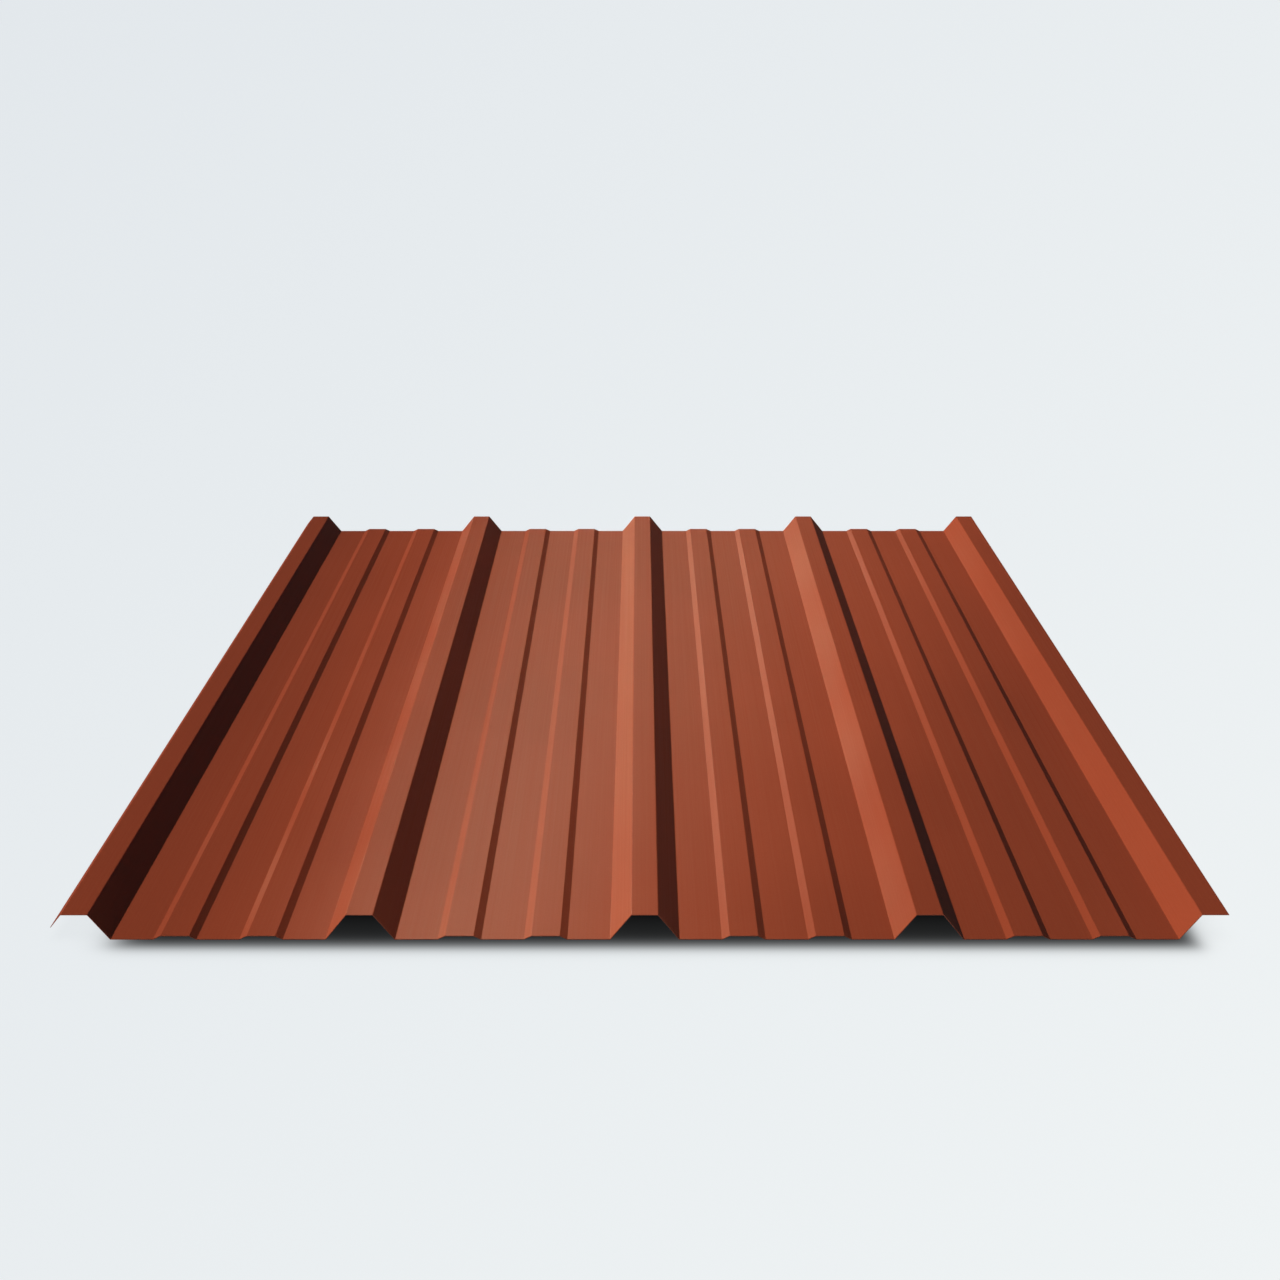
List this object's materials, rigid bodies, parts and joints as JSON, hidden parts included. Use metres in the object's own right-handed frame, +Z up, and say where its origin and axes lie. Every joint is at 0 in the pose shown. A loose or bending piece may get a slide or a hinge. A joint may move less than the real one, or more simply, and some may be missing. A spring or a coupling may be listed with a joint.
{
  "type": "trapezoidal metal sheet",
  "caption": "Roll-formed trapezoidal roofing and cladding sheet with tall ribs, shallow swages in the pans, a half-depth overlapping lip on one side and a bare rib crest on the other.",
  "frame": {"origin": "on the floor, under the middle of the sheet's bounding box", "axes": "+Y along the ribs, +X across the ribs towards the bare edge that the next sheet laps over, +Z up, the side that faces the weather"},
  "size_m": [1.0332, 1.5, 0.0237],
  "materials": {
    "painted_steel": "satin copper-brown baked paint on galvanised steel"
  },
  "bodies": {
    "root": {"profiled_sheet": "painted_steel"}
  },
  "joints": []
}
